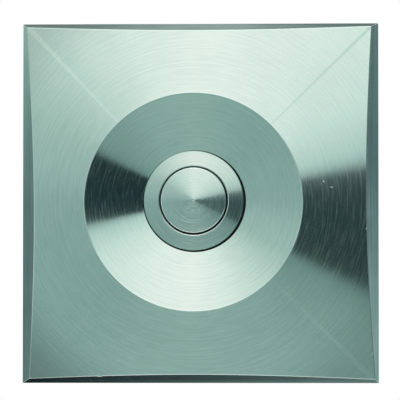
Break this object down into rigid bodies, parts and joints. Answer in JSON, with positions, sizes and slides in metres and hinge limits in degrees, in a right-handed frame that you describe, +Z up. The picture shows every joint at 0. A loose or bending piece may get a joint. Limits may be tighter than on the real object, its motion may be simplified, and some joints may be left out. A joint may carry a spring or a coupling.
{
  "type": "doorbell push button",
  "caption": "Square stainless-steel bell push with bevelled sides, a turned front with a shallow dish, and a sprung metal push button in a flanged switch, on a hidden wall plate.",
  "frame": {"origin": "on the switch's axis, in the plane of the wall, midway between the two wall screws", "axes": "+X to the right seen from the front, +Z up, +Y into the wall; the front faces -Y"},
  "size_m": [0.0796, 0.0324, 0.0805],
  "materials": {
    "turned_steel": "turned stainless steel with fine concentric tool marks, sides ground along their length",
    "sheet_steel": "rolled stainless sheet, stamped and bent",
    "screw_steel": "stainless set screws",
    "nickel_nut": "nickel-plated brass and steel",
    "black_rubber": "moulded nitrile rubber",
    "spring_steel": "drawn spring wire and stamped snap rings",
    "pale_plastic": "natural moulded nylon",
    "black_plastic": "moulded insulating plastic",
    "contact_brass": "stamped brass strip",
    "silver": "riveted silver contact tips"
  },
  "bodies": {
    "plate": {"face_plate": "turned_steel", "wall_plate": "sheet_steel", "grub_screws": "screw_steel", "switch_bush": "turned_steel", "flange_seal": "black_rubber", "lock_washer": "sheet_steel", "lock_nut": "nickel_nut", "guide_plate": "pale_plastic", "contact_base": "black_plastic", "base_clip": "spring_steel", "left_terminal": "contact_brass", "right_terminal": "contact_brass", "fixed_tips": "silver", "wire_clamps": "sheet_steel", "terminal_screws": "nickel_nut", "return_spring": "spring_steel"},
    "button": {"push_button": "turned_steel", "button_seal": "black_rubber", "button_clip": "spring_steel", "plunger": "pale_plastic", "contact_spring": "spring_steel", "contact_bridge": "contact_brass", "bridge_tips": "silver", "bridge_clip": "spring_steel"}
  },
  "joints": [
    {"name": "button_press", "type": "slide", "parent": "plate", "child": "button", "axis": [0, 1, 0], "range_m": [0, 0.002], "stiffness_N_per_m": 900, "springref_m": -0.0025, "deforming": ["return_spring"]}
  ]
}
